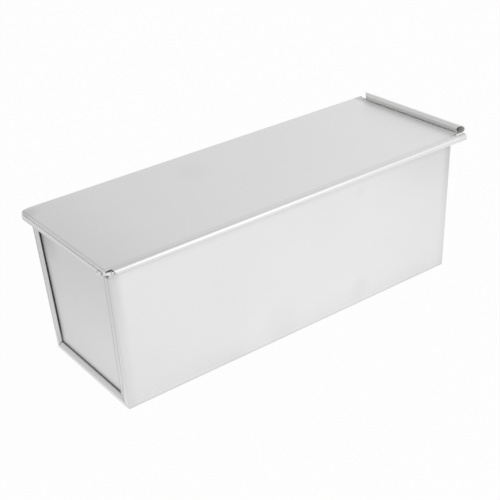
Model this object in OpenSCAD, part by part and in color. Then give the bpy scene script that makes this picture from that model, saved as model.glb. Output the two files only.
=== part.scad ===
// Loaf pan with a sliding lid.
// Origin: centre of the underside, on the table. +X runs to the handle end, +Z is up. Millimetres.
// Every sheet piece is drawn as a flat sheet that is bent step by step along its section.

/* [Pan] */
// Length over the end seams at the base
base_length = 310; // [200:1:420]
// Width over the long walls at the base
base_width = 108; // [80:1:160]
// Height of the rim's wire above the table
rim_height = 115; // [60:1:150]
// Outward lean of the long walls, degrees
side_lean = 2.1; // [0.5:0.1:5]
// Outward lean of the ends, degrees
end_lean = 1.2; // [0.4:0.1:4]

/* [Sheet and wire] */
// Thickness of the sheet
sheet = 0.6; // [0.5:0.1:0.8]
// Diameter of the wire in the rim
wire_d = 2.8; // [2.4:0.2:3.6]
// Outside radius of the bends at the floor and the ends
bend_r = 2; // [1.8:0.1:2.6]

/* [Seams] */
// Width of the folded seam around each end
seam_width = 9; // [7:0.5:12]

/* [Rim] */
// Flat part of the rim along the long walls
side_flange = 1.4; // [1:0.1:4]
// Flat part of the rim along the ends
end_flange = 5.5; // [3:0.1:8]
// Radius of the wire's corners, to its centre line
wire_corner = 6; // [5:0.5:8]

/* [Lid] */
// Clearance between the lid's channels and the rolled rim
lid_play = 0.35; // [0.3:0.05:0.6]
// How far the lid reaches past the wire at the handle end
lid_reach = 5.4; // [4:0.1:10]
// Width of the hem folded back along the lid's front edge
hem_width = 2; // [1.5:0.1:6]
// Outside radius of the handle curl
curl_r = 3.2; // [2.6:0.1:5]
// How far the handle curl stops short of the wire at the far side
curl_inset = 7.5; // [6:0.5:30]

/* [Hidden] */
$fn = 64;

// Lengths are kept to the nearest micron.
function mm(v) = round(v * 1000) / 1000;

// Play between folded layers, and the inside radius of a fold around one layer
fold_play = 0.05;
fold_in = sheet / 2 + fold_play;
// The lock seam has four layers: panel, body return, panel return, body flap.
seam_depth = 4 * sheet + 3 * fold_play;
// Slit left between two flaps that meet at a lower corner, and gap left at a sheet's free edges
mitre_slit = 0.16;
edge_gap = 0.3;
// Blocks used for cutting: one wider than any section, one longer than the pan
block = 40;
reach = 1000;

// Tilts have a cosine of whole millionths, so that bends and runs meet without a step.
function snapped(angle) = acos(round(cos(angle) * 1e6) / 1e6);
side_tilt = snapped(side_lean);
end_tilt = snapped(end_lean);

// The corner rounding touches the floor, a long wall and an end from its centre here.
corner_x = mm(base_length / 2 - bend_r * (1 - sin(end_tilt)) / cos(end_tilt));
corner_y = mm(base_width / 2 - bend_r * (1 - sin(side_tilt)) / cos(side_tilt));
bend_in = bend_r - sheet;

// Rolled rim around the wire
rim_in = wire_d / 2 + fold_play;
rim_out = rim_in + sheet;
rim_bend = 1.5;
rim_wrap = 80;
flange_z = rim_height + rim_in;

// Long walls: straight run from the floor bend to the rim's bend
side_rise = 1 - sin(side_tilt);
wall_run = mm((flange_z - (rim_bend + bend_r) * side_rise) / cos(side_tilt));
wire_y = mm(corner_y + (bend_r + rim_bend) * cos(side_tilt) + wall_run * sin(side_tilt) + side_flange);

// End panels: the outer face lies panel_face inside the corner's centre plane
panel_face = mm(seam_depth - bend_r - sheet);
panel_start = bend_r + panel_face * sin(end_tilt);
panel_run = mm((flange_z - rim_bend * (1 - sin(end_tilt)) - panel_start) / cos(end_tilt));
wire_x = mm(corner_x - panel_face * cos(end_tilt) + panel_run * sin(end_tilt)
    + rim_bend * cos(end_tilt) + end_flange);

// Lean of each sheet's edge within that sheet's own plane
wall_edge_lean = snapped(atan(tan(end_tilt) * cos(side_tilt)));
panel_edge_lean = snapped(atan(tan(side_tilt) * cos(end_tilt)));

// Seams stop just under the rim, measured along their slanted edges.
seam_top = rim_height - rim_out - edge_gap;
wall_seam = mm((seam_top - bend_r * side_rise) / cos(side_tilt) / cos(wall_edge_lean));
panel_seam = mm((seam_top - panel_start) / cos(end_tilt) / cos(panel_edge_lean));
flap_run = mm(seam_width - bend_r - fold_in - sheet);
hook_run = mm(flap_run - edge_gap);

// The rolls stop at the top of the slanted sheet edges, short of the wire's corners.
roll_x = mm(corner_x + wall_run * tan(wall_edge_lean) - edge_gap);
roll_y = mm(wire_y - wire_corner - 2 * edge_gap);

// Lid
lid_in = rim_out + lid_play;
lid_bottom = mm(rim_height + lid_in);
lid_lip = 1.1;
lid_front = wire_x + lid_lip;
lid_back = wire_x + lid_reach;
// The channels run from the wire's front corners and end in a hook under the rim.
// Their front ends are cut on a slant, their flat starts just inside the wire.
channel_start = wire_x - wire_corner + edge_gap;
channel_slant = 30;
channel_flat = 0.5;
channel_wrap = 15;
// The hem is pressed almost flat. Its near end stands past the plate as a narrow tab,
// and it stops short of the far corner, which is rounded.
hem_in = 0.1;
hem_fold = lid_front - hem_in - sheet;
tab_width = 0.6;
tab_length = 2.4;
front_corner = 5;
// The curl is one round roll that comes back over the lid and stops just above the plate.
// Its sheet runs on from the plate's back edge, and its back overhangs the channels' ends.
curl_root = 1;
curl_gap = 0.4;
curl_close = asin((curl_r - sheet - curl_gap) / curl_r);
curl_overhang = 1.75;
plate_back = mm(lid_back + curl_overhang - curl_r);
// A slit parts the curl from the near channel. Both ends are cut askew.
slit = 2.5;
slit_length = 7.4;
curl_near = mm(wire_y - channel_flat - slit);
curl_far = mm(wire_y - curl_inset);
near_skew = 33;
far_skew = 50;

// Ring between two radii, from straight down round to the right by turn (up to 90 degrees)
module arc_left(r_in, turn) {
    intersection() {
        difference() {
            circle(r = r_in + sheet);
            circle(r = r_in);
        }
        polygon([[0, 0], [0, -10], [10 * sin(turn), -10 * cos(turn)]]);
    }
}

// A sheet bent along a path. It starts along +X with the sheet above the line.
// [length] is a flat run. [turn, inside radius] is a bend: positive turns up, negative turns down.
module bent(steps, i = 0) {
    if (i < len(steps)) {
        step = steps[i];
        if (len(step) == 1) {
            square([step[0], sheet]);
            translate([step[0], 0]) bent(steps, i + 1);
        } else if (step[0] > 0) {
            translate([0, step[1] + sheet]) {
                arc_left(step[1], step[0]);
                rotate(step[0]) translate([0, -step[1] - sheet]) bent(steps, i + 1);
            }
        } else {
            translate([0, -step[1]]) {
                mirror([0, 1]) arc_left(step[1], -step[0]);
                rotate(step[0]) translate([0, step[1]]) bent(steps, i + 1);
            }
        }
    }
}

// Steps that roll the rim outward over the wire, from a wall that leans
function rim_roll(lean, flange) = [[lean - 90, rim_bend], [flange],
    [-90, rim_in], [-90, rim_in], [-rim_wrap, rim_in]];
// Steps of a fold that turns back on itself
function fold(way) = [[way * 90, fold_in], [way * 90, fold_in]];

module both_ends() {
    children();
    mirror([1, 0, 0]) children();
}

module both_sides() {
    children();
    mirror([0, 1, 0]) children();
}

// Frame of the +Y wall: X up the wall, Y into the pan, Z along the pan, starting at the floor bend
module wall_frame() {
    rotate([90, 0, 90]) translate([corner_y, bend_r, 0]) rotate(90 - side_tilt)
        translate([0, -bend_r, 0]) children();
}

// Frame of that wall's slanted edge at the +X end: X along the edge, Z out of the end
module wall_edge() {
    wall_frame() translate([0, 0, corner_x]) rotate([0, -wall_edge_lean, 0]) children();
}

// Frame of the +X end: X up the end, Y into the pan, Z across it, starting at the corner's centre
module end_frame() {
    rotate([90, 0, 0]) translate([corner_x, bend_r, 0]) rotate(90 - end_tilt) children();
}

// Frame of the panel's slanted edge: X along the edge, Z out to the side
module panel_edge() {
    end_frame() translate([0, panel_face, corner_y]) rotate([0, -panel_edge_lean, 0]) children();
}

// One piece of section drawn along an edge frame from a start to an end
module along(from, to) {
    translate([to, 0, 0]) rotate([0, -90, 0]) linear_extrude(to - from) children();
}

// Long wall with the bend at its foot and its rolled rim, cut to length at both ends
module long_wall() {
    difference() {
        rotate([90, 0, 90]) translate([corner_y, 0, -reach / 2]) linear_extrude(reach)
            bent(concat([[90 - side_tilt, bend_in], [wall_run]], rim_roll(side_tilt, side_flange)));
        both_ends() {
            wall_edge() translate([0, -block / 2, 0]) cube([reach, block, reach]);
            wall_frame() translate([-block, -block / 2, corner_x]) cube([block, block, reach]);
            wall_frame() translate([wall_run, -block / 2, roll_x]) cube([block, block, reach]);
        }
    }
}

// Flap of a long wall, turned over the end and folded under itself, mitred at the foot
module side_flap() {
    wall_edge() difference() {
        along(0, wall_seam)
            bent(concat([[90, bend_in], [flap_run]], fold(1), [[hook_run]]));
        translate([mitre_slit, bend_r, -block / 2]) rotate(45)
            translate([-block / 2, 0, 0]) cube([2 * block, block, block]);
    }
}

// Half of the floor's flap at the end, mitred at its outer side
module floor_flap() {
    difference() {
        rotate([90, 0, 0]) translate([corner_x, 0, -corner_y]) linear_extrude(corner_y)
            bent(concat([[90 - end_tilt, bend_in], [flap_run]], fold(1), [[hook_run]]));
        translate([corner_x - block / 2, corner_y - mitre_slit, bend_r]) rotate([45, 0, 0])
            translate([0, 0, -block / 2]) cube([block, block, 2 * block]);
    }
}

// Rounded corner of the sheet between floor, wall and end
module drawn_corner() {
    intersection() {
        translate([corner_x, corner_y, bend_r]) difference() {
            sphere(r = bend_r);
            sphere(r = bend_in);
        }
        translate([corner_x, corner_y, -bend_r]) cube(3 * bend_r);
        wall_edge() translate([-block, -block / 2, -block / 2]) cube(block);
    }
}

// The +Y half of the body
module half_body() {
    translate([-corner_x, 0, 0]) cube([2 * corner_x, corner_y, sheet]);
    long_wall();
    both_ends() {
        floor_flap();
        side_flap();
        drawn_corner();
    }
}

module pan_body() {
    color("silver") both_sides() half_body();
}

// Panel at the +X end: hooked into the seam on three sides, its top rolled over the wire
module end_panel() {
    difference() {
        end_frame() translate([0, panel_face, -reach / 2]) cube([panel_run, sheet, reach]);
        both_sides() panel_edge() translate([-block, -block / 2, 0]) cube([reach, block, reach]);
    }
    end_frame() translate([panel_run, panel_face, -roll_y]) linear_extrude(2 * roll_y)
        bent(rim_roll(end_tilt, end_flange));
    both_sides() panel_edge() along(0, panel_seam) bent(concat(fold(-1), [[hook_run]]));
    end_frame() translate([0, panel_face, -corner_y]) linear_extrude(2 * corner_y)
        mirror([1, 0]) bent(concat(fold(-1), [[hook_run]]));
}

module handle_end_panel() {
    color("gainsboro") end_panel();
}

module front_end_panel() {
    color("gainsboro") mirror([1, 0, 0]) end_panel();
}

// Closed loop of wire that stiffens the rim
module rim_wire() {
    straight_x = mm(wire_x - wire_corner);
    straight_y = mm(wire_y - wire_corner);
    color("slategray") translate([0, 0, rim_height]) {
        both_sides() translate([-straight_x, wire_y, 0]) rotate([0, 90, 0])
            cylinder(d = wire_d, h = 2 * straight_x);
        both_ends() {
            translate([wire_x, straight_y, 0]) rotate([90, 0, 0])
                cylinder(d = wire_d, h = 2 * straight_y);
            both_sides() translate([straight_x, straight_y, 0]) rotate_extrude(angle = 90)
                translate([wire_corner, 0]) circle(d = wire_d);
        }
    }
}

// Outline of the lid's flat plate, slit beside the near end of the curl
module plate_outline() {
    rounded_y = wire_y - front_corner;
    difference() {
        translate([-hem_fold, -wire_y]) square([hem_fold + plate_back, wire_y + rounded_y]);
        translate([plate_back - slit_length, -curl_near - slit]) square([block, slit]);
    }
    translate([front_corner - hem_fold, rounded_y]) {
        square([hem_fold - front_corner + plate_back, front_corner]);
        intersection() {
            circle(r = front_corner);
            translate([-front_corner, 0]) square(front_corner);
        }
    }
}

// Channel that hooks under the rolled rim at the +Y side
module channel() {
    difference() {
        translate([-channel_start, 0, 0]) rotate([90, 0, 90]) linear_extrude(channel_start + lid_back)
            translate([wire_y - channel_flat, 0])
            bent([[channel_flat], [-90, lid_in], [-90, lid_in], [-channel_wrap, lid_in]]);
        translate([-channel_start, wire_y - block / 2, sheet]) rotate([0, -channel_slant, 0])
            translate([-block, 0, -block / 2]) cube(block);
    }
}

// Front edge folded back on top of the plate, between two stations across the lid
module hem(from, to, width) {
    mirror([1, 0, 0]) translate([hem_fold - tab_width, to, 0]) rotate([90, 0, 0])
        linear_extrude(to - from) bent([[tab_width], [90, hem_in], [90, hem_in], [width]]);
}

// Handle roll along the back edge, with its ends cut askew
module curl() {
    curl_in = curl_r - sheet;
    difference() {
        translate([plate_back - curl_root, curl_far + 2 * curl_r, 0]) rotate([90, 0, 0])
            linear_extrude(curl_near + curl_far + 4 * curl_r)
            bent([[curl_root], [90, curl_in], [90, curl_in], [90, curl_in], [curl_close, curl_in]]);
        translate([plate_back, curl_far, -block / 2]) rotate(far_skew)
            translate([-block / 2, 0, 0]) cube(block);
        translate([plate_back, -curl_near, -block / 2]) rotate(-near_skew)
            translate([-block / 2, -block, 0]) cube(block);
    }
}

module sliding_lid() {
    color("lightgray") translate([0, 0, lid_bottom]) {
        linear_extrude(sheet) plate_outline();
        hem(-wire_y, wire_y - front_corner, hem_width);
        hem(-wire_y - tab_length, -wire_y, tab_width);
        both_sides() channel();
        curl();
    }
}

pan_body();
front_end_panel();
handle_end_panel();
rim_wire();
sliding_lid();
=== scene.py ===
"""Loaf pan with a sliding lid: the finishes of its sheet and wire, the studio round it and the camera.

Everything is in metres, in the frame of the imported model. The pan stands on Z = 0, +X runs to the
handle end and the near long wall faces -Y. The CAD pieces keep their shapes and places.
"""

import logging
import math
from dataclasses import dataclass
from enum import Enum
from typing import Any, Optional, Union

import bpy
from mathutils import Matrix, Vector


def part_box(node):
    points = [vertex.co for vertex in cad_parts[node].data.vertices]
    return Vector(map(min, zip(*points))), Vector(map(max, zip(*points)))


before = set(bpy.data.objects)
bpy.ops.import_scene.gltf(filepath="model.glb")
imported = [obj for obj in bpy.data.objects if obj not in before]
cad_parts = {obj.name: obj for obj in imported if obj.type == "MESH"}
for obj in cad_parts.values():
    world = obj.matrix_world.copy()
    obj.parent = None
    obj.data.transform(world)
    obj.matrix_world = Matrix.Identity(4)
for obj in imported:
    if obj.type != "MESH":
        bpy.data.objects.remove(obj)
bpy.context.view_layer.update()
LOG = logging.getLogger("loaf_pan")
MM = 0.001
UP = Vector((0.0, 0.0, 1.0))

# Places of the sockets of a Mix node that mixes two colours.
MIX_SHARE = 0
MIX_FIRST = 6
MIX_SECOND = 7
MIX_RESULT = 2

# The middle of what a Noise node gives.
NOISE_MIDDLE = 0.5

Number = Union[float, "Value"]
Triple = tuple[float, float, float]
Colour = tuple[float, float, float, float]


class Rolling(Enum):
    """The way a sheet was rolled, told by which of X, Y and Z run across its grain."""

    ALONG_PAN = (False, True, True)
    ACROSS_PAN = (True, False, True)


class Value:
    """A shader output that takes part in Python arithmetic: each operation adds a Math node."""

    def __init__(self, tree: "NodeSheet", socket: Optional[bpy.types.NodeSocket]) -> None:
        """Wraps one output socket of a node tree."""
        self.tree = tree
        self.socket = socket

    def __add__(self, other: Number) -> "Value":
        """Sum."""
        return self.tree.maths("ADD", self, other)

    def __radd__(self, other: Number) -> "Value":
        """Sum, with the number on the left."""
        return self.tree.maths("ADD", other, self)

    def __sub__(self, other: Number) -> "Value":
        """Difference."""
        return self.tree.maths("SUBTRACT", self, other)

    def __rsub__(self, other: Number) -> "Value":
        """Difference, with the number on the left."""
        return self.tree.maths("SUBTRACT", other, self)

    def __mul__(self, other: Number) -> "Value":
        """Product."""
        return self.tree.maths("MULTIPLY", self, other)

    def __rmul__(self, other: Number) -> "Value":
        """Product, with the number on the left."""
        return self.tree.maths("MULTIPLY", other, self)

    def __abs__(self) -> "Value":
        """Size without its sign."""
        return self.tree.maths("ABSOLUTE", self, 0.0)

    def at_most(self, other: Number) -> "Value":
        """The smaller of two values."""
        return self.tree.maths("MINIMUM", self, other)

    def at_least(self, other: Number) -> "Value":
        """The larger of two values."""
        return self.tree.maths("MAXIMUM", self, other)

    def step(self, low: float, high: float) -> "Value":
        """A soft step from 0 at low to 1 at high.

        Args:
            low: Value at which the step begins.
            high: Value at which the step is done.

        Returns:
            The step, between 0 and 1.
        """
        span = {"From Min": low, "From Max": high, "Value": self}
        return self.tree.add("ShaderNodeMapRange", {"interpolation_type": "SMOOTHSTEP"}, span)


class NodeSheet:
    """The node tree of one material, or of the world."""

    def __init__(self, owner: Union[bpy.types.Material, bpy.types.World]) -> None:
        """Starts an empty tree.

        Args:
            owner: The material or world that the tree belongs to.
        """
        owner.use_nodes = True
        self.owner = owner
        self.tree = owner.node_tree
        self.tree.nodes.clear()

    def add(self, kind: str, settings: dict[str, Any], sockets: dict[Any, Any], out: Any = 0) -> Value:
        """Adds one node.

        Args:
            kind: Blender's name for the node's type.
            settings: Properties of the node, set first.
            sockets: Values or links of its inputs, by name or place.
            out: Name or place of the output that is wanted.

        Returns:
            That output, or an empty value for a node that has none.
        """
        node = self.tree.nodes.new(kind)
        for name, setting in settings.items():
            setattr(node, name, setting)
        for name, value in sockets.items():
            socket = node.inputs[name]
            if isinstance(value, Value):
                self.tree.links.new(value.socket, socket)
            else:
                socket.default_value = value
        return Value(self, node.outputs[out] if node.outputs else None)

    def maths(self, operation: str, left: Number, right: Number) -> Value:
        """A number worked out from two."""
        return self.add("ShaderNodeMath", {"operation": operation}, {0: left, 1: right})

    def blend(self, share: Number, first: Any, second: Any) -> Value:
        """A colour mixed from two: the first where the share is 0, the second where it is 1."""
        sockets = {MIX_SHARE: share, MIX_FIRST: first, MIX_SECOND: second}
        return self.add("ShaderNodeMix", {"data_type": "RGBA"}, sockets, out=MIX_RESULT)

    def along(self, vector: Value, side: Vector) -> Value:
        """How far a vector reaches to a side."""
        sockets = {0: vector, 1: side}
        return self.add("ShaderNodeVectorMath", {"operation": "DOT_PRODUCT"}, sockets, out="Value")

    def mixed(self, share: Number, first: Value, second: Value) -> Value:
        """A shader mixed from two: the first where the share is 0, the second where it is 1."""
        return self.add("ShaderNodeMixShader", {}, {0: share, 1: first, 2: second})

    def rays(self, kind: str) -> Value:
        """1 for rays of that kind, else 0."""
        return self.add("ShaderNodeLightPath", {}, {}, out=kind)

    def metal(self, colour: Value, bare: Value, rough: Value, height: Value) -> bpy.types.Material:
        """Closes the tree of a material with a metal surface.

        Args:
            colour: Colour of the metal and of what lies on it.
            bare: Share of bare metal.
            rough: Roughness.
            height: Height of the fine relief, in metres.

        Returns:
            The material.
        """
        normal = self.add("ShaderNodeBump", {}, {"Height": height, "Distance": 1.0, "Strength": 1.0})
        sockets = {"Base Color": colour, "Metallic": bare, "Roughness": rough, "Normal": normal}
        surface = self.add("ShaderNodeBsdfPrincipled", {}, sockets)
        self.add("ShaderNodeOutputMaterial", {}, {"Surface": surface})
        return self.owner


class Spot:
    """A point of the surface, in the model's frame, whole and split into its coordinates."""

    def __init__(self, tree: NodeSheet) -> None:
        """Reads the point.

        Args:
            tree: Node tree of the surface.
        """
        self.tree = tree
        self.whole = tree.add("ShaderNodeTexCoord", {}, {}, out="Object")
        self.x, self.y, self.z = (
            tree.add("ShaderNodeSeparateXYZ", {}, {"Vector": self.whole}, out=name) for name in "XYZ")

    def noise(self, per_metre: Triple, detail: float, shift: float) -> Value:
        """Soft noise over the surface.

        Args:
            per_metre: How many features there are in a metre along X, Y and Z.
            detail: How many finer octaves are added.
            shift: Shift that gives a pattern of its own.

        Returns:
            The noise, around 0.
        """
        place = {"Vector": self.whole, "Scale": per_metre, "Location": (shift, shift, shift)}
        point = self.tree.add("ShaderNodeMapping", {}, place)
        sockets = {"Vector": point, "Scale": 1.0, "Detail": detail}
        return self.tree.add("ShaderNodeTexNoise", {}, sockets) - NOISE_MIDDLE

    def distance(self, point: Triple) -> Value:
        """Distance from a point of the model."""
        ends = {0: self.whole, 1: point}
        return self.tree.add("ShaderNodeVectorMath", {"operation": "DISTANCE"}, ends, out="Value")


@dataclass(frozen=True)
class Ramp:
    """A soft change along a measure, between its low and its high end, up to some strength."""

    low: float
    high: float
    strength: float = 1.0

    def rise(self, along: Value) -> Value:
        """Nothing below the low end, full strength beyond the high end."""
        return along.step(self.low, self.high) * self.strength

    def fall(self, along: Value) -> Value:
        """Full strength below the low end, nothing beyond the high end."""
        return (1.0 - along.step(self.low, self.high)) * self.strength

    def scaled(self, size: float) -> "Ramp":
        """The same ramp, where its ends are given in shares of a size."""
        return Ramp(self.low * size, self.high * size, self.strength)


@dataclass(frozen=True)
class Line:
    """A soft line at one place along a measure, that fades out to both sides."""

    place: float
    reach: float
    strength: float = 1.0

    def darkening(self, along: Value) -> Value:
        """Full strength on the line, nothing from its reach on."""
        return Ramp(0.0, self.reach, self.strength).fall(abs(along - self.place))


@dataclass(frozen=True)
class Graded:
    """A number that goes from one value to another with a share."""

    least_share: float
    full_share: float

    def at(self, share: Value) -> Value:
        """The number at a share between 0 and 1."""
        return self.least_share + share * (self.full_share - self.least_share)


@dataclass(frozen=True)
class RaggedEdge:
    """Noise that makes the edges of marks and of painted shade uneven."""

    per_metre: float
    shift: float
    depth: float
    detail: float = 2.0

    def waver(self, spot: Spot) -> Value:
        """How far the edge is moved at a spot."""
        return spot.noise((self.per_metre,) * 3, self.detail, self.shift) * self.depth


def grey(level: float) -> Colour:
    """A neutral colour of that linear brightness."""
    return (level, level, level, 1.0)


@dataclass(frozen=True)
class DarkFilm:
    """Dark film of dirt and of painted shade: its colour, the share of metal it hides, how much it
    roughens the face.
    """

    # dark colour of the dirt and of the painted shade
    colour: Colour = (0.060, 0.055, 0.050, 1.0)
    cover: float = 0.8
    roughening: float = 0.25


@dataclass(frozen=True)
class Layer:
    """One pattern in the face of a sheet, and what it does to shade, roughness and height.

    A metre holds so many features across and along the rolling. Peaks are what counts of a pattern where
    only its highest places show.
    """

    across: float
    along: float
    detail: float
    shift: float
    shade: float = 0.0
    rough: float = 0.0
    height: float = 0.0
    peaks: Optional[Ramp] = None

    def drawn(self, spot: Spot, rolled: Rolling, pattern: float) -> Value:
        """Draws the pattern.

        Args:
            spot: Point of the surface.
            rolled: The way the sheet was rolled.
            pattern: Shift that tells one sheet from another.

        Returns:
            The noise around 0 or, where only peaks count, those from 0 to 1.
        """
        per_metre = tuple(self.across if fine else self.along for fine in rolled.value)
        noise = spot.noise(per_metre, self.detail, pattern + self.shift)
        return self.peaks.rise(noise) if self.peaks else noise


GRAIN = Layer(
    across=1300.0, along=9.0, detail=3.0, shift=0.0, shade=0.4, rough=0.08, height=0.012 * MM)
HAIR_SCRATCHES = Layer(
    across=2100.0, along=14.0, detail=1.0, shift=2.0, shade=0.3, rough=-0.06, height=-0.006 * MM,
    peaks=Ramp(0.17, 0.24))
CLOUDS = Layer(across=22.0, along=22.0, detail=2.0, shift=5.0, shade=0.7, rough=0.10)
SLIGHT_WAVE = Layer(across=9.0, along=9.0, detail=0.0, shift=9.0, height=0.35 * MM)


@dataclass(frozen=True)
class SatinSheet:
    """Rolled aluminium sheet with a satin face.

    Rubbing makes the sheet lighter and smoother, a dull place is rougher, and painted grey shade hides
    the metal.
    """

    tone: float = 0.845
    tone_swing: float = 0.035
    middle_shade: float = 0.5
    roughness: float = 0.42
    rolled: Rolling = Rolling.ALONG_PAN
    pattern: float = 0.0
    layers: tuple[Layer, ...] = (GRAIN, HAIR_SCRATCHES, CLOUDS, SLIGHT_WAVE)
    rub_shade: float = 0.25
    rub_polish: float = 0.12
    dulling: float = 0.36
    soil_and_shade: DarkFilm = DarkFilm()
    # grey of the shade painted on the handle curl
    shade_grey: Colour = (0.56, 0.555, 0.545, 1.0)

    def paint(self, spot: Spot, soil_and_shade: Value, rub: Number = 0.0, dull: Number = 0.0,
              grey_shade: Number = 0.0) -> bpy.types.Material:
        """Paints the finish on the tree of a spot.

        Args:
            spot: Point of the surface.
            soil_and_shade: Share of the dark film of dirt and painted shade, from 0 to 1.
            rub: Share of polish by rubbing, from 0 to 1.
            dull: Share of sheet that polishing left out, from 0 to 1.
            grey_shade: Share of painted grey shade, from 0 to 1.

        Returns:
            The material.
        """
        tree = spot.tree
        drawn = [(layer, layer.drawn(spot, self.rolled, self.pattern)) for layer in self.layers]
        rubbed = self.middle_shade + rub * self.rub_shade
        shade = sum((noise * layer.shade for layer, noise in drawn if layer.shade), rubbed)
        darkest = grey(self.tone * (1.0 - self.tone_swing))
        lightest = grey(self.tone * (1.0 + self.tone_swing))
        clean = tree.blend(shade.at_least(0.0).at_most(1.0), darkest, lightest)
        # painted grey shade, then the dark film of dirt and painted shade, go over the clean sheet
        colour = tree.blend(soil_and_shade, tree.blend(grey_shade, clean, self.shade_grey), self.soil_and_shade.colour)
        worn = self.roughness + dull * self.dulling - rub * self.rub_polish + soil_and_shade * self.soil_and_shade.roughening
        rough = sum((noise * layer.rough for layer, noise in drawn if layer.rough), worn)
        height = sum(noise * layer.height for layer, noise in drawn if layer.height)
        bare = (1.0 - soil_and_shade * self.soil_and_shade.cover) * (1.0 - grey_shade)
        return tree.metal(colour, bare, rough, height)


@dataclass(frozen=True)
class DrawnWire:
    """Bright drawn steel wire with fine lines round it."""

    tone: float = 0.86
    darkest: float = 0.94
    lightest: float = 1.04
    middle_shade: float = 0.5
    roughness: float = 0.26
    lines_per_metre: Triple = (900.0, 900.0, 2600.0)
    line_detail: float = 2.0
    line_rough: float = 0.16
    line_height: float = 0.01 * MM
    soil_and_shade: DarkFilm = DarkFilm(roughening=0.3)

    def paint(self, spot: Spot, soil_and_shade: Value) -> bpy.types.Material:
        """Paints the finish on the tree of a spot.

        Args:
            spot: Point of the surface.
            soil_and_shade: Share of the dark film of dirt and painted shade, from 0 to 1.

        Returns:
            The material.
        """
        tree = spot.tree
        lines = spot.noise(self.lines_per_metre, self.line_detail, 0.0)
        shades = (grey(self.tone * self.darkest), grey(self.tone * self.lightest))
        clean = tree.blend(self.middle_shade + lines, *shades)
        colour = tree.blend(soil_and_shade, clean, self.soil_and_shade.colour)
        rough = self.roughness + lines * self.line_rough + soil_and_shade * self.soil_and_shade.roughening
        return tree.metal(colour, 1.0 - soil_and_shade * self.soil_and_shade.cover, rough, lines * self.line_height)


def new_spot(name: str) -> Spot:
    """Starts a material of that name and gives the point of its surface."""
    return Spot(NodeSheet(bpy.data.materials.new(name)))


def dress_node(name: str, made: bpy.types.Material) -> None:
    """Gives one CAD piece its material.

    Args:
        name: Name of the CAD node.
        made: Its material.
    """
    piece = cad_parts[name]
    piece.data.materials.clear()
    piece.data.materials.append(made)
    LOG.info("%s dressed with %s", name, made.name)


@dataclass(frozen=True)
class Mark:
    """A faint darkening, for handling marks and for painted shade: its place, how far it reaches, how
    strong it is.

    The core is the share of the reach that is not yet faded, and the raggedness the share by which the
    edge wavers.
    """

    place: Triple
    reach: float
    strength: float
    core: float = 0.1
    raggedness: float = 0.6
    edge_per_metre: float = 90.0
    edge_shift: float = 6.0

    def darkening(self, spot: Spot) -> Value:
        """Works out the darkening of the mark, which fades out with a ragged edge.

        Args:
            spot: Point of the surface.

        Returns:
            Share of darkening.
        """
        edge = RaggedEdge(self.edge_per_metre, self.edge_shift, self.raggedness * self.reach)
        fade = Ramp(self.core * self.reach, self.reach, self.strength)
        return fade.fall(spot.distance(self.place) + edge.waver(spot))


@dataclass(frozen=True)
class SeamPlace:
    """Where a spot lies on the folded seam round an end.

    Inward is the distance in from the seam's folded edge, below 0 on the seam itself. Behind is the
    depth behind the seam's outer face. Upright is 0 along the floor and 1 along the sides.
    """

    inward: Value
    behind: Value
    upright: Value


@dataclass(frozen=True)
class EndSeam:
    """The folded seam round each end, which body and end panels share, with its sizes in the part."""

    base_half_length: float = 155.0 * MM
    base_half_width: float = 54.0 * MM
    width: float = 9.0 * MM
    top: float = 112.6 * MM
    side_lean: float = math.radians(2.1)
    end_lean: float = math.radians(1.2)
    turn_up: Ramp = Ramp(10.0 * MM, 24.0 * MM)

    def place(self, spot: Spot) -> SeamPlace:
        """Finds where a spot lies on the seam.

        Args:
            spot: Point of the surface.

        Returns:
            Its place.
        """
        leaned = abs(spot.y) - spot.z * math.tan(self.side_lean)
        beside = (self.base_half_width - self.width) - leaned
        inward = beside.at_most(spot.z - self.width)
        behind = self.base_half_length + spot.z * math.tan(self.end_lean) - abs(spot.x)
        return SeamPlace(inward, behind, self.turn_up.rise(spot.z))


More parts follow.
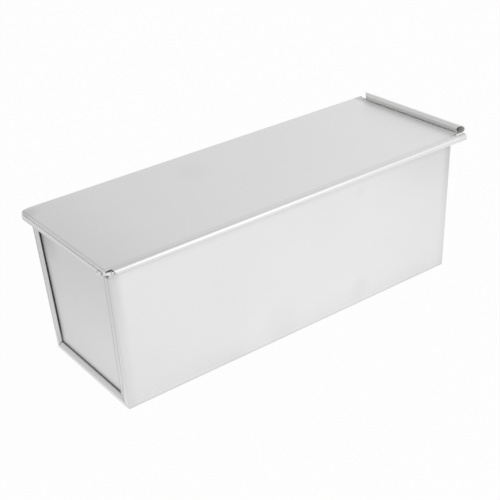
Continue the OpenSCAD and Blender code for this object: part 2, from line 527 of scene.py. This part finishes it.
@dataclass(frozen=True)
class SeamShade:
    """Painted shade on the body's part of the seams: folds, flaps' faces, and a painted shadow under the
    rim.

    Depths are behind the seam's outer face. Where a layer ends under the flap, a line of shade is
    painted at its edge, and another along the outer bend. Graded numbers go from the seam along the
    floor to those at the sides, and for the folded edge to the one on the near side.
    """

    end_depth: Ramp = Ramp(3.0 * MM, 5.0 * MM)
    fold_depth: Ramp = Ramp(0.4 * MM, 1.1 * MM)
    fold_start: Ramp = Ramp(-1.5 * MM, -0.8 * MM)
    fold_shade: Graded = Graded(0.30, 0.65)
    face_depth: Ramp = Ramp(0.3 * MM, 0.8 * MM)
    layer_width: Graded = Graded(4.0 * MM, 5.9 * MM)
    layer_start: Ramp = Ramp(-0.5 * MM, 0.8 * MM)
    layer_darkening: Graded = Graded(0.17, 0.03)
    layer_edge: Line = Line(0.0, 1.0 * MM, 0.24)
    folded_edge: Line = Line(-0.7 * MM, 1.0 * MM)
    folded_shade: Graded = Graded(0.08, 0.36)
    near_side: Ramp = Ramp(-20.0 * MM, 20.0 * MM)
    bend: Line = Line(0.0, 1.4 * MM, 0.14)
    bend_depth: Ramp = Ramp(0.6 * MM, 1.6 * MM)
    shadow_edge: RaggedEdge = RaggedEdge(per_metre=260.0, shift=8.0, depth=3.0 * MM)
    shadow_height: Ramp = Ramp(-5.4 * MM, -2.6 * MM, 0.7)
    shadow_start: Ramp = Ramp(-9.0 * MM, -6.5 * MM)

    def share(self, spot: Spot, place: SeamPlace, seam: EndSeam) -> Value:
        """Works out the painted shade.

        Args:
            spot: Point of the surface.
            place: Its place on the seam.
            seam: The seam.

        Returns:
            Share of painted shade.
        """
        # painted shade in the groove at the fold's edge
        in_fold = self.fold_depth.rise(place.behind) * self.fold_start.rise(place.inward)
        fold = in_fold * self.fold_shade.at(place.upright)
        layer = place.inward + self.layer_width.at(place.upright)
        # the flap is darker over a layer under it
        darkening = self.layer_start.rise(layer) * self.layer_darkening.at(place.upright)
        on_near_side = place.upright * self.near_side.fall(spot.y)
        # painted shade on the flap beside its folded edge, more on the near side
        folded = self.folded_edge.darkening(place.inward) * self.folded_shade.at(on_near_side)
        # painted shadow under the rim, with a ragged edge
        ragged_height = spot.z + self.shadow_edge.waver(spot) - seam.top
        under_rim_shadow = self.shadow_height.rise(ragged_height) * self.shadow_start.rise(place.inward)
        # the layer's edge as a painted line of shade
        on_face = darkening + self.layer_edge.darkening(layer) + folded + under_rim_shadow
        face = self.face_depth.fall(place.behind) * on_face
        # painted shade along the outer bend
        bend = self.bend.darkening(place.inward + seam.width) * self.bend_depth.fall(place.behind)
        return self.end_depth.fall(place.behind) * (fold + face + bend)


@dataclass(frozen=True)
class WallShade:
    """Shade and darkening painted on the long walls.

    Painted shade lies beside the seams and the walls darken towards the handle end, both more so higher
    up; a painted shadow lies under the lid, and painted shade at the foot, which also has two lines.
    """

    wall_depth: Ramp = Ramp(0.6 * MM, 1.8 * MM)
    beside_seam: Ramp = Ramp(1.8 * MM, 10.0 * MM)
    seam_least: float = 0.06
    seam_height: Ramp = Ramp(40.0 * MM, 112.0 * MM, 0.10)
    to_handle: Ramp = Ramp(60.0 * MM, 150.0 * MM)
    handle_least: float = 0.03
    handle_height: Ramp = Ramp(70.0 * MM, 112.0 * MM, 0.05)
    foot: Ramp = Ramp(0.0, 24.0 * MM, 0.035)
    under_lid: Ramp = Ramp(-8.0 * MM, -2.0 * MM, 0.06)
    foot_lines: tuple[Line, ...] = (Line(6.0 * MM, 1.3 * MM, 0.02), Line(1.6 * MM, 1.7 * MM, 0.09))

    def share(self, spot: Spot, place: SeamPlace, seam: EndSeam) -> Value:
        """Works out the painted shade.

        Args:
            spot: Point of the surface.
            place: Its place on the seam.
            seam: The seam.

        Returns:
            Share of painted shade.
        """
        # painted shade beside the seams, more of it higher up
        at_seam = self.beside_seam.fall(place.behind) * (self.seam_least + self.seam_height.rise(spot.z))
        # darker towards the handle end, more so higher up
        at_handle = self.to_handle.rise(spot.x) * (self.handle_least + self.handle_height.rise(spot.z))
        # painted shade at the foot, with two painted lines along its bend
        foot = sum((line.darkening(spot.z) for line in self.foot_lines), self.foot.fall(spot.z))
        # painted shadow under the lid
        under_lid = self.under_lid.rise(spot.z - seam.top)
        return self.wall_depth.rise(place.behind) * (at_seam + at_handle + foot + under_lid)


@dataclass
class PanBody:
    """The body: floor, long walls and the seam's outer flaps, all of one sheet."""

    node: str = "pan_body"
    seam: EndSeam = EndSeam()
    finish: SatinSheet = SatinSheet()
    painted_shade: SeamShade = SeamShade()
    darkening: WallShade = WallShade()
    marks: tuple[Mark, ...] = (
        Mark((60.0 * MM, -57.6 * MM, 99.0 * MM), 9.0 * MM, 0.025),
        Mark((61.0 * MM, -54.6 * MM, 15.0 * MM), 15.0 * MM, 0.035),
        Mark((-18.0 * MM, -54.7 * MM, 18.5 * MM), 24.0 * MM, 0.03))

    def dress(self) -> None:
        """Puts the finish on the body, with painted shade in the seams and on the walls, and faint
        marks.
        """
        spot = new_spot("body_sheet")
        place = self.seam.place(spot)
        soil_and_shade = self.painted_shade.share(spot, place, self.seam) + self.darkening.share(spot, place, self.seam)
        soil_and_shade = sum((mark.darkening(spot) for mark in self.marks), soil_and_shade)
        dress_node(self.node, self.finish.paint(spot, soil_and_shade.at_most(1.0)))


@dataclass(frozen=True)
class GrooveShade:
    """Painted shade on the end panels.

    It lies in the groove along the seam and in a band beside it, broader on the far side, and the panels
    are darker low down. A patch of painted shade reaches in from the far seam under the rim.
    """

    sunk_depth: Ramp = Ramp(0.2 * MM, 1.0 * MM)
    groove_edge: RaggedEdge = RaggedEdge(per_metre=160.0, shift=4.0, depth=1.2 * MM)
    groove: Ramp = Ramp(0.2 * MM, 1.5 * MM)
    groove_shade: Graded = Graded(0.37, 0.65)
    beside: Ramp = Ramp(0.0, 5.5 * MM, 0.17)
    far_beside: Ramp = Ramp(0.0, 9.5 * MM, 0.18)
    far_side: Ramp = Ramp(0.0, 40.0 * MM)
    low_down: Ramp = Ramp(9.0 * MM, 50.0 * MM, 0.045)
    upper_shade_height: Ramp = Ramp(76.0 * MM, 106.0 * MM, 0.24)
    upper_shade_reach: Ramp = Ramp(2.0 * MM, 34.0 * MM)
    upper_shade_side: Ramp = Ramp(0.0, 30.0 * MM)

    def share(self, spot: Spot, place: SeamPlace) -> Value:
        """Works out the painted shade.

        Args:
            spot: Point of the surface.
            place: Its place on the seam.

        Returns:
            Share of painted shade.
        """
        # painted shade in the groove, with a ragged edge
        ragged = place.inward + self.groove_edge.waver(spot)
        groove = self.groove.fall(ragged) * self.groove_shade.at(place.upright)
        # painted shade beside the groove, broader on the far side
        on_far_side = place.upright * self.far_side.rise(spot.y)
        darkening = self.beside.fall(place.inward) + self.far_beside.fall(place.inward) * on_far_side
        # painted shade reaching in from the far seam under the rim
        near_seam = self.upper_shade_reach.fall(place.inward) * self.upper_shade_side.rise(spot.y)
        upper_shade = self.upper_shade_height.rise(spot.z) * near_seam
        # all on the sunk panel, which is also darker low down
        return self.sunk_depth.rise(place.behind) * (groove + darkening + self.low_down.fall(spot.z) + upper_shade)


@dataclass
class EndPanels:
    """The two end panels, hooked into the seams."""

    nodes: tuple[str, ...] = ("front_end_panel", "handle_end_panel")
    seam: EndSeam = EndSeam()
    finish: SatinSheet = SatinSheet(rolled=Rolling.ACROSS_PAN, pattern=3.0)
    painted_shade: GrooveShade = GrooveShade()

    def dress(self) -> None:
        """Puts the finish on both panels, with painted shade along the seam."""
        spot = new_spot("end_sheet")
        made = self.finish.paint(spot, self.painted_shade.share(spot, self.seam.place(spot)))
        for name in self.nodes:
            dress_node(name, made)


@dataclass
class RimWire:
    """The closed loop of wire inside the rolled rim.

    Lines of painted shade lie where the wire goes into the roll of the ends, across the pan, and of the
    walls.
    """

    node: str = "rim_wire"
    finish: DrawnWire = DrawnWire()
    into_end: Line = Line(58.9 * MM, 0.9 * MM, 0.7)
    into_wall: Line = Line(157.3 * MM, 1.0 * MM, 0.45)
    in_roll: Ramp = Ramp(-2.0 * MM, 0.0, 0.06)
    to_handle: Ramp = Ramp(0.0, 100.0 * MM, 0.35)

    def dress(self) -> None:
        """Puts the finish on the wire, with painted shade where it leaves the rolled sheet and at the
        handle end.
        """
        spot = new_spot("drawn_wire")
        aside = abs(spot.y)
        # painted shade on the wire inside the end rolls
        darkening = self.in_roll.fall(aside - self.into_end.place)
        # painted shade on the lines where the wire goes into the rolls
        lines = self.into_end.darkening(aside).at_least(self.into_wall.darkening(abs(spot.x)))
        # painted shade on the wire at the handle end, under the curl
        painted_shade = lines.at_least(self.to_handle.rise(spot.x))
        dress_node(self.node, self.finish.paint(spot, darkening + painted_shade))


@dataclass(frozen=True)
class LidShade:
    """Painted shade on the lid, measured from the sides of its box.

    It lies along the hem's edge and thinly over the front, in the near crease, low on the channels, and
    in the slit between the curl and the near channel.
    """

    hem: Line = Line(2.0 * MM, 1.6 * MM, 0.13)
    front: Ramp = Ramp(-10.0 * MM, 65.0 * MM, 0.075)
    crease: Line = Line(4.4 * MM, 2.2 * MM, 0.07)
    low_down: Ramp = Ramp(0.8 * MM, 4.0 * MM, 0.08)
    slit: Line = Line(6.02 * MM, 0.6 * MM, 0.45)
    slit_start: Ramp = Ramp(-15.6 * MM, -13.6 * MM)
    slit_height: Ramp = Ramp(-5.7 * MM, -5.2 * MM)

    def share(self, spot: Spot, low: Vector, high: Vector) -> Value:
        """Works out the painted shade.

        Args:
            spot: Point of the surface.
            low: Lowest corner of the lid's box.
            high: Highest corner of the lid's box.

        Returns:
            Share of painted shade.
        """
        from_front = spot.x - low[0]
        from_near = spot.y - low[1]
        # painted shade along the hem's edge and thinly over the front
        hem_and_front_shade = self.hem.darkening(from_front) + self.front.fall(from_front)
        # painted shade in the near crease and low on the channels
        creases = self.crease.darkening(from_near) + self.low_down.fall(spot.z - low[2])
        # painted shade on the edges of the slit beside the curl
        at_curl = self.slit_start.rise(spot.x - high[0]) * self.slit_height.fall(spot.z - high[2])
        return hem_and_front_shade + creases + self.slit.darkening(from_near) * at_curl


@dataclass(frozen=True)
class HandleCurl:
    """The handle curl, with painted grey shade on the side it turns to the lid and in its hollow.

    The plate before it is dull. Ramps that have no unit are in shares of the curl's radius, from its
    middle.
    """

    radius: float = 3.2 * MM
    to_lid: float = 0.91
    to_plate: float = 0.42
    facing: Ramp = Ramp(0.25, 0.80, 0.8)
    fade_under: Ramp = Ramp(-0.60, -0.35)
    above_plate: Ramp = Ramp(-0.90, -0.75)
    plate_face: Ramp = Ramp(-0.75, -0.70)
    hollow_edge: float = 2.7 * MM
    sheet_middle: float = 2.9 * MM
    start: Ramp = Ramp(-0.3 * MM, 0.0)
    dull_strip: Ramp = Ramp(-5.0 * MM, -2.5 * MM)

    def grey_shade(self, spot: Spot, high: Vector) -> Value:
        """Works out the painted grey shade on the curl.

        Args:
            spot: Point of the surface.
            high: Highest corner of the lid's box, which the curl reaches.

        Returns:
            Share of painted grey shade.
        """
        across = spot.x - (high[0] - self.radius)
        up = spot.z - (high[2] - self.radius)
        # painted grey shade on the side turned to the lid
        turned = up * -self.to_plate - across * self.to_lid
        facing = self.facing.scaled(self.radius).rise(turned)
        facing = facing * self.fade_under.scaled(self.radius).rise(up)
        # painted grey shade in the hollow
        hollow = Ramp(self.hollow_edge ** 2, self.sheet_middle ** 2).fall(across * across + up * up)
        on_curl = self.start.rise(across + self.radius) * self.above_plate.scaled(self.radius).rise(up)
        return on_curl * facing.at_least(hollow)

    def dull(self, spot: Spot, high: Vector) -> Value:
        """Works out the strip of plate before the curl that polishing left out.

        Args:
            spot: Point of the surface.
            high: Highest corner of the lid's box, which the curl reaches.

        Returns:
            Share of dull plate.
        """
        from_curl = spot.x - (high[0] - 2.0 * self.radius)
        up = spot.z - (high[2] - self.radius)
        return self.plate_face.scaled(self.radius).fall(up) * self.dull_strip.rise(from_curl)


@dataclass
class SlidingLid:
    """The lid: a flat plate with channels at its sides, a hem in front and the curl at the back."""

    node: str = "sliding_lid"
    finish: SatinSheet = SatinSheet(pattern=7.0)
    painted_shade: LidShade = LidShade()
    curl: HandleCurl = HandleCurl()
    rubbed_channel: Ramp = Ramp(-2.6 * MM, -0.5 * MM)
    marks: tuple[Mark, ...] = (
        # painted shade at the lid's far front corner
        Mark((-165.0 * MM, 54.0 * MM, 117.0 * MM), 17.0 * MM, 0.13),
        Mark((-32.0 * MM, 30.0 * MM, 118.0 * MM), 22.0 * MM, 0.025))

    def dress(self) -> None:
        """Puts the finish on the lid, with painted shade in folds, at a corner and on the curl, and
        rubbed channels.
        """
        low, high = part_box(self.node)
        spot = new_spot("lid_sheet")
        soil_and_shade = sum((mark.darkening(spot) for mark in self.marks), self.painted_shade.share(spot, low, high))
        rub = self.rubbed_channel.rise(abs(spot.y) - high[1])
        dull = self.curl.dull(spot, high)
        # painted grey shade on the curl's side towards the lid and in its hollow
        grey_shade = self.curl.grey_shade(spot, high)
        dress_node(self.node, self.finish.paint(spot, soil_and_shade, rub, dull, grey_shade))


@dataclass
class Studio:
    """A pale floor, a soft surrounding light that is brighter in front on the right, and a softbox.

    Floor and surroundings change towards the bright side. The glow is what reflections see of the floor.
    """

    floor_size: float = 12.0
    floor_tone: float = 0.95
    floor_white: float = 0.955
    bright_side: Triple = (0.78, -0.62, 0.0)
    glow_least: float = 0.72
    glow_rise: Ramp = Ramp(-0.36, 0.02, 0.28)
    glow_drop: Ramp = Ramp(0.27, 0.46, 0.12)
    front_light: float = 0.90
    front_slope: float = 0.60
    front_most: float = 0.96
    back_light: float = 0.73
    back_slope: float = -0.14
    overhead_drop: Ramp = Ramp(0.62, 0.88, 0.35)
    horizon_height: Ramp = Ramp(0.05, 0.42)
    horizon_drop: Ramp = Ramp(-0.75, -0.30, 0.05)
    box_from: Triple = (0.50, -1.30, 0.42)
    box_aim: Triple = (0.0, 0.0, 0.08)
    box_size: float = 0.85
    box_watts: float = 1.03

    def build(self) -> None:
        """Makes the floor, the surrounding light and the softbox."""
        self.make_floor()
        self.make_surround()
        self.make_softbox()

    def make_floor(self) -> None:
        """Makes the floor: white to the camera, pale to reflections, and keeping the shadow."""
        bpy.ops.mesh.primitive_plane_add(size=self.floor_size)
        floor = bpy.context.object
        floor.name = "floor"
        spot = new_spot("pale_floor")
        tree = spot.tree
        camera = tree.rays("Is Camera Ray")
        seen = (camera + tree.rays("Is Glossy Ray") + tree.rays("Is Transmission Ray")).at_most(1.0)
        forward = tree.along(spot.whole, Vector(self.bright_side))
        glow = self.glow_least + self.glow_rise.rise(forward) - self.glow_drop.rise(forward)
        shown = glow.at_least(camera)
        white = tree.add("ShaderNodeEmission", {}, {"Color": grey(1.0), "Strength": shown})
        pale = tree.add("ShaderNodeBsdfDiffuse", {}, {"Color": grey(self.floor_tone)})
        surface = tree.mixed(seen * self.floor_white, pale, white)
        tree.add("ShaderNodeOutputMaterial", {}, {"Surface": surface})
        floor.data.materials.append(tree.owner)
        LOG.info("floor made")

    def make_surround(self) -> None:
        """Makes the surrounding light, which the camera sees as plain white."""
        world = bpy.data.worlds.new("studio")
        bpy.context.scene.world = world
        tree = NodeSheet(world)
        towards = tree.add("ShaderNodeTexCoord", {}, {}, out="Generated")
        facing = tree.along(towards, Vector(self.bright_side))
        height = tree.along(towards, UP)
        front = (self.front_light + facing * self.front_slope).at_most(self.front_most)
        back = self.back_light + facing * self.back_slope
        horizon = self.horizon_height.fall(height) * self.horizon_drop.fall(facing)
        level = front.at_least(back) - self.overhead_drop.rise(height) - horizon
        shown = level.at_least(tree.rays("Is Camera Ray"))
        light = tree.add("ShaderNodeBackground", {}, {"Color": grey(1.0), "Strength": shown})
        tree.add("ShaderNodeOutputWorld", {}, {"Surface": light})
        LOG.info("surrounding light made")

    def make_softbox(self) -> None:
        """Makes the softbox in front on the right, a little above the pan."""
        lamp = bpy.data.lights.new("softbox", "AREA")
        lamp.shape = "SQUARE"
        lamp.size = self.box_size
        lamp.energy = self.box_watts
        holder = bpy.data.objects.new("softbox", lamp)
        holder.location = self.box_from
        towards = Vector(self.box_aim) - Vector(self.box_from)
        holder.rotation_euler = towards.to_track_quat("-Z", "Y").to_euler()
        bpy.context.scene.collection.objects.link(holder)
        LOG.info("softbox made")


@dataclass
class Viewpoint:
    """The camera, at the photograph's viewing angle.

    Angles are in degrees. The focal length is in pixels of a picture that is so many pixels wide.
    """

    azimuth: float = -34.597
    elevation: float = 28.030
    roll: float = -4.069
    distance: float = 0.850
    aim: Triple = (0.00364, 0.01260, 0.04356)
    focal_pixels: float = 1057.958
    picture_pixels: float = 500.0
    sensor: float = 36.0
    nearest: float = 0.01
    farthest: float = 50.0

    def build(self) -> None:
        """Makes the camera and hands it to the scene."""
        lens = bpy.data.cameras.new("viewpoint")
        lens.sensor_fit = "HORIZONTAL"
        lens.sensor_width = self.sensor
        lens.lens = self.sensor * self.focal_pixels / self.picture_pixels
        lens.clip_start = self.nearest
        lens.clip_end = self.farthest
        holder = bpy.data.objects.new("viewpoint", lens)
        holder.matrix_world = self.placed()
        bpy.context.scene.collection.objects.link(holder)
        bpy.context.scene.camera = holder
        LOG.info("camera made")

    def placed(self) -> Matrix:
        """Works out where the camera stands and how it is turned.

        Returns:
            Its matrix in the scene.
        """
        turn = math.radians(self.azimuth)
        rise = math.radians(self.elevation)
        lean = math.radians(self.roll)
        outward = Vector((math.sin(turn), -math.cos(turn), 0.0))
        back = outward * math.cos(rise) + UP * math.sin(rise)
        level = Vector((math.cos(turn), math.sin(turn), 0.0))
        upright = back.cross(level)
        right = level * math.cos(lean) + upright * math.sin(lean)
        up = upright * math.cos(lean) - level * math.sin(lean)
        place = Vector(self.aim) + back * self.distance
        return Matrix.Translation(place) @ Matrix((right, up, back)).transposed().to_4x4()


def main() -> None:
    """Dresses the pan, then makes the studio and the camera."""
    logging.basicConfig(level=logging.INFO, format="%(message)s")
    bpy.context.scene.view_settings.view_transform = "Standard"
    PanBody().dress()
    EndPanels().dress()
    RimWire().dress()
    SlidingLid().dress()
    Studio().build()
    Viewpoint().build()


if __name__ == "__main__":
    main()
